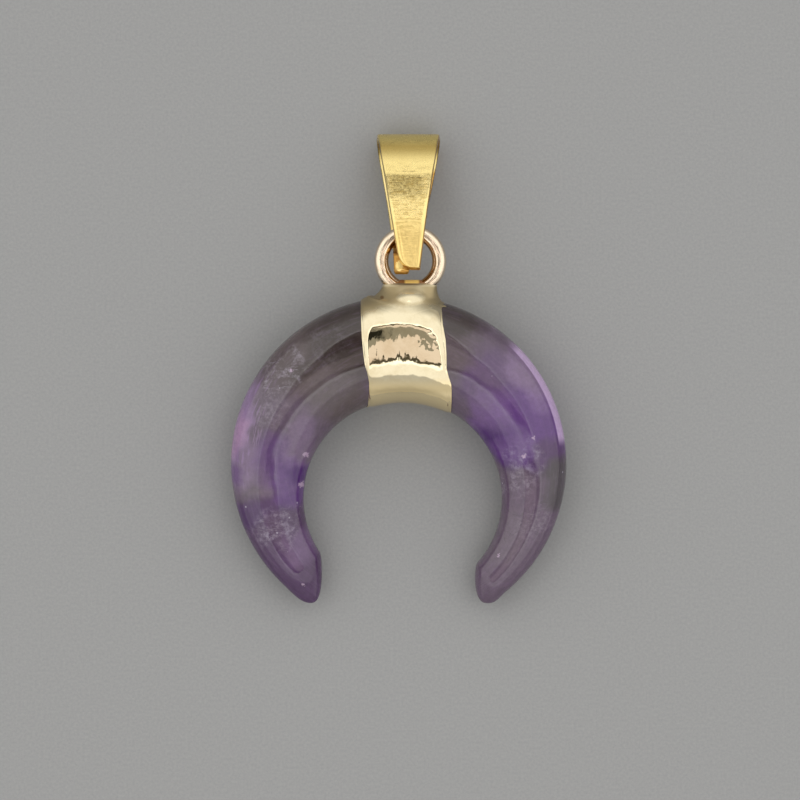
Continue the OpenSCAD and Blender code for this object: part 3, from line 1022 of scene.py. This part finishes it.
PIVOT = np.array([1.04, 12.1612, 5.0244])


def front_height(y):
    """Height of the front leg's middle over the bail's middle line, y from the ring's wire."""
    if y < 0:
        return WIRE_HALF + LEG_RISE * y
    return WIRE_HALF + (FOLD_R - WIRE_HALF) * sin(pi / 2 * y / BAIL_REACH)


def back_height(y):
    """The same for the back leg, which bends up to the front leg below the wire."""
    if y >= 0:
        return -front_height(y)
    s = min(1, max(0, (y - APART) / (PINCH - APART)))
    return -WIRE_HALF + (front_height(y) - BAIL_T - PINCH_GAP + WIRE_HALF) * s * s * (3 - 2 * s)


corner_rows = CORNER_L * (1 - np.cos(np.linspace(0, pi / 2, 16))) - FRONT_TAIL
wire_rows = np.linspace(corner_rows[-1], 0, 36)[1:]
front_rows = np.concatenate([corner_rows, wire_rows, np.linspace(0, BAIL_REACH, 160)[1:]])
back_rows = np.concatenate([np.linspace(-FRONT_TAIL, 0, 60), np.linspace(0, BAIL_REACH, 90)[1:]])[::-1]
front_leg = [(y, front_height(y)) for y in front_rows]
fold = [(BAIL_REACH + FOLD_R * sin(a), FOLD_R * cos(a)) for a in np.linspace(0, pi, 60)[1:-1]]
back_leg = [(y, back_height(y)) for y in back_rows]
for s in (0.25, 0.5, 0.75, 1.0):
    back_leg.append((-FRONT_TAIL - BACK_EXTRA * s, back_height(-FRONT_TAIL) + CURL_RISE * s * s))
strip = np.array(front_leg + fold + back_leg)
front_count = len(front_leg) + len(fold) // 2
step = np.gradient(strip, axis=0)
step /= np.linalg.norm(step, axis=1)[:, None]

YELLOW_GOLD = (0.96, 0.77, 0.34)
ORANGE_GOLD = (1.0, 0.75, 0.29)
YELLOW_TARNISH = (0.52, 0.36, 0.10)
PANEL_OLIVE = (0.30, 0.22, 0.07)
FOLD_SHADE_OLIVE = (0.89, 0.71, 0.27)
FOLD_SHADE_DARK = (0.34, 0.25, 0.080)
SATIN_GOLD = (0.79, 0.64, 0.27)
BEHIND_SHADE_ORANGE = (0.50, 0.25, 0.055)
WALL_SHADE_ORANGE = (0.50, 0.26, 0.05)
# Places along the card, mm
PANEL_TOP = 17.4
HAMMER_END = 15.1
HAMMER_SPAN = (HAMMER_END - 0.4, HAMMER_END + 0.5)
DARK_REFLECTION_SPAN = (HAMMER_END - 0.6, PANEL_TOP - 0.4)
FOLD_SPAN = (18.2, 19.75)
OLIVE_SPAN = (19.8, 20.6)
SATIN_SPAN = (16.6, 17.9)
ORANGE_SPAN = (15.0, 11.0)
ROLLED_SPAN = (11.5, 13.0)
SOFTER_SPAN = (14.0, 11.0)
# The painted glint, a painted highlight, on the back leg's end: its middle and half its size
GLINT = (0.05, 9.1)
GLINT_HALF = (0.34, 0.48)

yellow_gold, tree, shader, place = new_material("yellow_gold")
x, y, z = split(place)
aside = x - (PIVOT[0] + BAIL_ASIDE)
# Where the panel is: below its curved top line and inside the rims, on the strip's front
panel_line = aside * aside * 0.03 + PANEL_TOP
from_edge = abs(aside) - (y * 0.1766 - 0.66)
in_panel = step_up(y - panel_line, 0.12, -0.55) * step_up(from_edge, -0.30, -0.62)
mid_panel = step_up(abs(aside + 0.22), 1.75, 1.0)
hammered = in_panel * step_up(y, *HAMMER_SPAN)
blot = noise(place * (1.0, 1.9, 1.0), 3.4, 6.0, 0.72)
rolled = noise(place * (0.6, 3.2, 1.0), 1.9, 4.0, 0.6)
rolled_zone = in_panel * (step_up(y, *ROLLED_SPAN) * 0.7 + 0.3)
tarnish = effect(tarnish_group, place, Scale=0.7, Amount=0.4)
rubbed = effect(scratch_group, place, Scale=5.0, Amount=0.5)
colour = blend(step_up(y, *ORANGE_SPAN), YELLOW_GOLD, ORANGE_GOLD)
colour = blend(step_up(y, *SATIN_SPAN), colour, SATIN_GOLD)
colour = blend(tarnish * 0.12, colour, YELLOW_TARNISH)
# The back leg is painted darker orange, painted shade from the front leg, and its right margin too; only its
# curl keeps a painted glint
from_wire = y - PIVOT[1]
over_wire = z - PIVOT[2]
leg_y = from_wire * SLOPE_COS - over_wire * SLOPE_SIN
leg_up = from_wire * SLOPE_SIN + over_wire * SLOPE_COS + BAIL_DROP
arch = (larger(leg_y, 0.0) * (pi / 2 / BAIL_REACH)).node("SINE")
front_middle = arch * (FOLD_R - WIRE_HALF) + WIRE_HALF + leg_y.node("MINIMUM", leg_y, 0.0) * LEG_RISE
below = step_up(leg_up - front_middle, -0.15, -0.28) * step_up(leg_y, BAIL_REACH, BAIL_REACH - 0.6)
glint_x = (x - GLINT[0]) / GLINT_HALF[0]
glint_y = (y - GLINT[1]) / GLINT_HALF[1]
no_glint = step_up(glint_x * glint_x + glint_y * glint_y + blot * 1.6 - 0.8, 0.5, 1.3)
behind = below * no_glint * step_up(y, 11.8, 11.3)
colour = blend(behind * (step_up(y, 10.8, 9.9) * 0.45 + 0.5), colour, BEHIND_SHADE_ORANGE)
colour = blend(below * step_up(aside, 0.2, 0.5) * 0.85, colour, WALL_SHADE_ORANGE)
# The panel is darker above, a painted reflection of the tent's dark gap, hammered in its middle and finely
# rolled below
colour = blend(in_panel * mid_panel * step_up(y, *DARK_REFLECTION_SPAN) * 0.52, colour, PANEL_OLIVE)
blotched = hammered * step_up(blot, 0.48, 0.58) * (mid_panel * 0.8 + 0.2)
colour = blend(blotched * 0.7, colour, PANEL_OLIVE)
colour = blend(rolled_zone * step_up(rolled, 0.50, 0.59) * 0.55, colour, YELLOW_TARNISH)
# The fold's top is painted dark, then olive at its crest: painted shade along its curve
painted_fold_shade = blend(step_up(y, *OLIVE_SPAN), FOLD_SHADE_DARK, FOLD_SHADE_OLIVE)
colour = blend(step_up(y, *FOLD_SPAN), colour, painted_fold_shade)
# The cut edges, picked by the way they face, are painted dark orange: partly their colour, partly painted
# shade; less on the left
facing_x, facing_y, _ = split(Wire(put(tree, "ShaderNodeNewGeometry").outputs["Normal"]))
side_wall = larger(step_up(abs(facing_x), 0.6, 0.85), step_up(facing_y, -0.5, -0.7))
wall_share = 0.8 - step_up(facing_x, -0.3, -0.6) * 0.65
colour = blend(side_wall * wall_share, colour, WALL_SHADE_ORANGE)
hammer_bump = bumped(blot * hammered, 0.15)
rolled_bump = bumped(rolled * rolled_zone, 0.10, normal=hammer_bump)
feed(shader, {
    "Base Color": colour, "Metallic": 1.0,
    "Roughness": step_up(y, *SOFTER_SPAN) * 0.10 + rubbed * 0.12 + 0.26,
    "Normal": bumped(effect(ripple_group, place, Scale=1.4), 0.03, normal=rolled_bump),
})

RIM = 0.45
PANEL_DEEP = 0.035
END_BEVEL = 0.4
PANEL_START = 4.85
HALF_T = BAIL_T / 2
strip_points = []
for i, (y, h) in enumerate(strip):
    back = i > front_count
    down = 1 - (max(-FRONT_TAIL, y) + FRONT_TAIL) / BAIL_LENGTH
    wide = (BAIL_TOP_W + ((BACK_END_W if back else FRONT_END_W) - BAIL_TOP_W) * down) / 2
    aside = BAIL_ASIDE + (BACK_LEAN if back else FRONT_LEAN) * down**3
    off_corner = 0 if back else max(0, 1 - (y + FRONT_TAIL) / CORNER_L)
    left = CORNER_W * (1 - np.sqrt(1 - min(1, off_corner) ** 2)) - wide
    centre, half = (wide + left) / 2, (wide - left) / 2
    rim = min(RIM, 0.4 * half)
    slant = min(1, max(0.25, (BAIL_REACH - 0.5 - y) / 1.5))
    edge = [(half + 0.03, -0.18), (half, 0.06), (half - 0.04 * slant, 0.15), (half - 0.10 * slant, 0.20)]
    edge += [(half - 0.2 * rim - 0.08, 0.24), (half - 0.8 * rim, HALF_T), (half - rim, 0.24)]
    inner = half - rim - 0.08
    shape = list(edge)
    for c in np.linspace(1, -1, 41):
        sunk = 0 if back else min(1, max(0, (PANEL_START - y - 0.12 * c * c) / 0.5 + 0.5))
        dent = 0.010 * waves(2.2 * c * inner, 2.2 * y) * sunk
        shape.append((inner * c, HALF_T - PANEL_DEEP * sunk * sunk * (3 - 2 * sunk) + dent))
    shape += [(-c, up) for c, up in edge[::-1]]
    shape += [(-half + 0.1, -HALF_T), (half - 0.1, -HALF_T)]
    for c, up in shape:
        bevel = END_BEVEL * (HALF_T - up) if i == 0 else 0
        along_y = y - bevel - step[i][1] * up
        up_z = h + step[i][0] * up - BAIL_DROP
        strip_points.append((
            PIVOT[0] + aside + centre + c,
            PIVOT[1] + along_y * SLOPE_COS + up_z * SLOPE_SIN,
            PIVOT[2] - along_y * SLOPE_SIN + up_z * SLOPE_COS,
        ))
across_count = len(shape)
count = len(strip)
faces = net_faces(count, across_count, False, True)
faces.append(tuple(range(across_count)))
faces.append(tuple((count - 1) * across_count + i for i in range(across_count)))
strip_mesh = mesh_of("bail_strip", np.array(strip_points) * MM, faces, yellow_gold)
bail = add_piece("bail_strip", strip_mesh)
settle(bail, "bail", slot="yellow_gold")
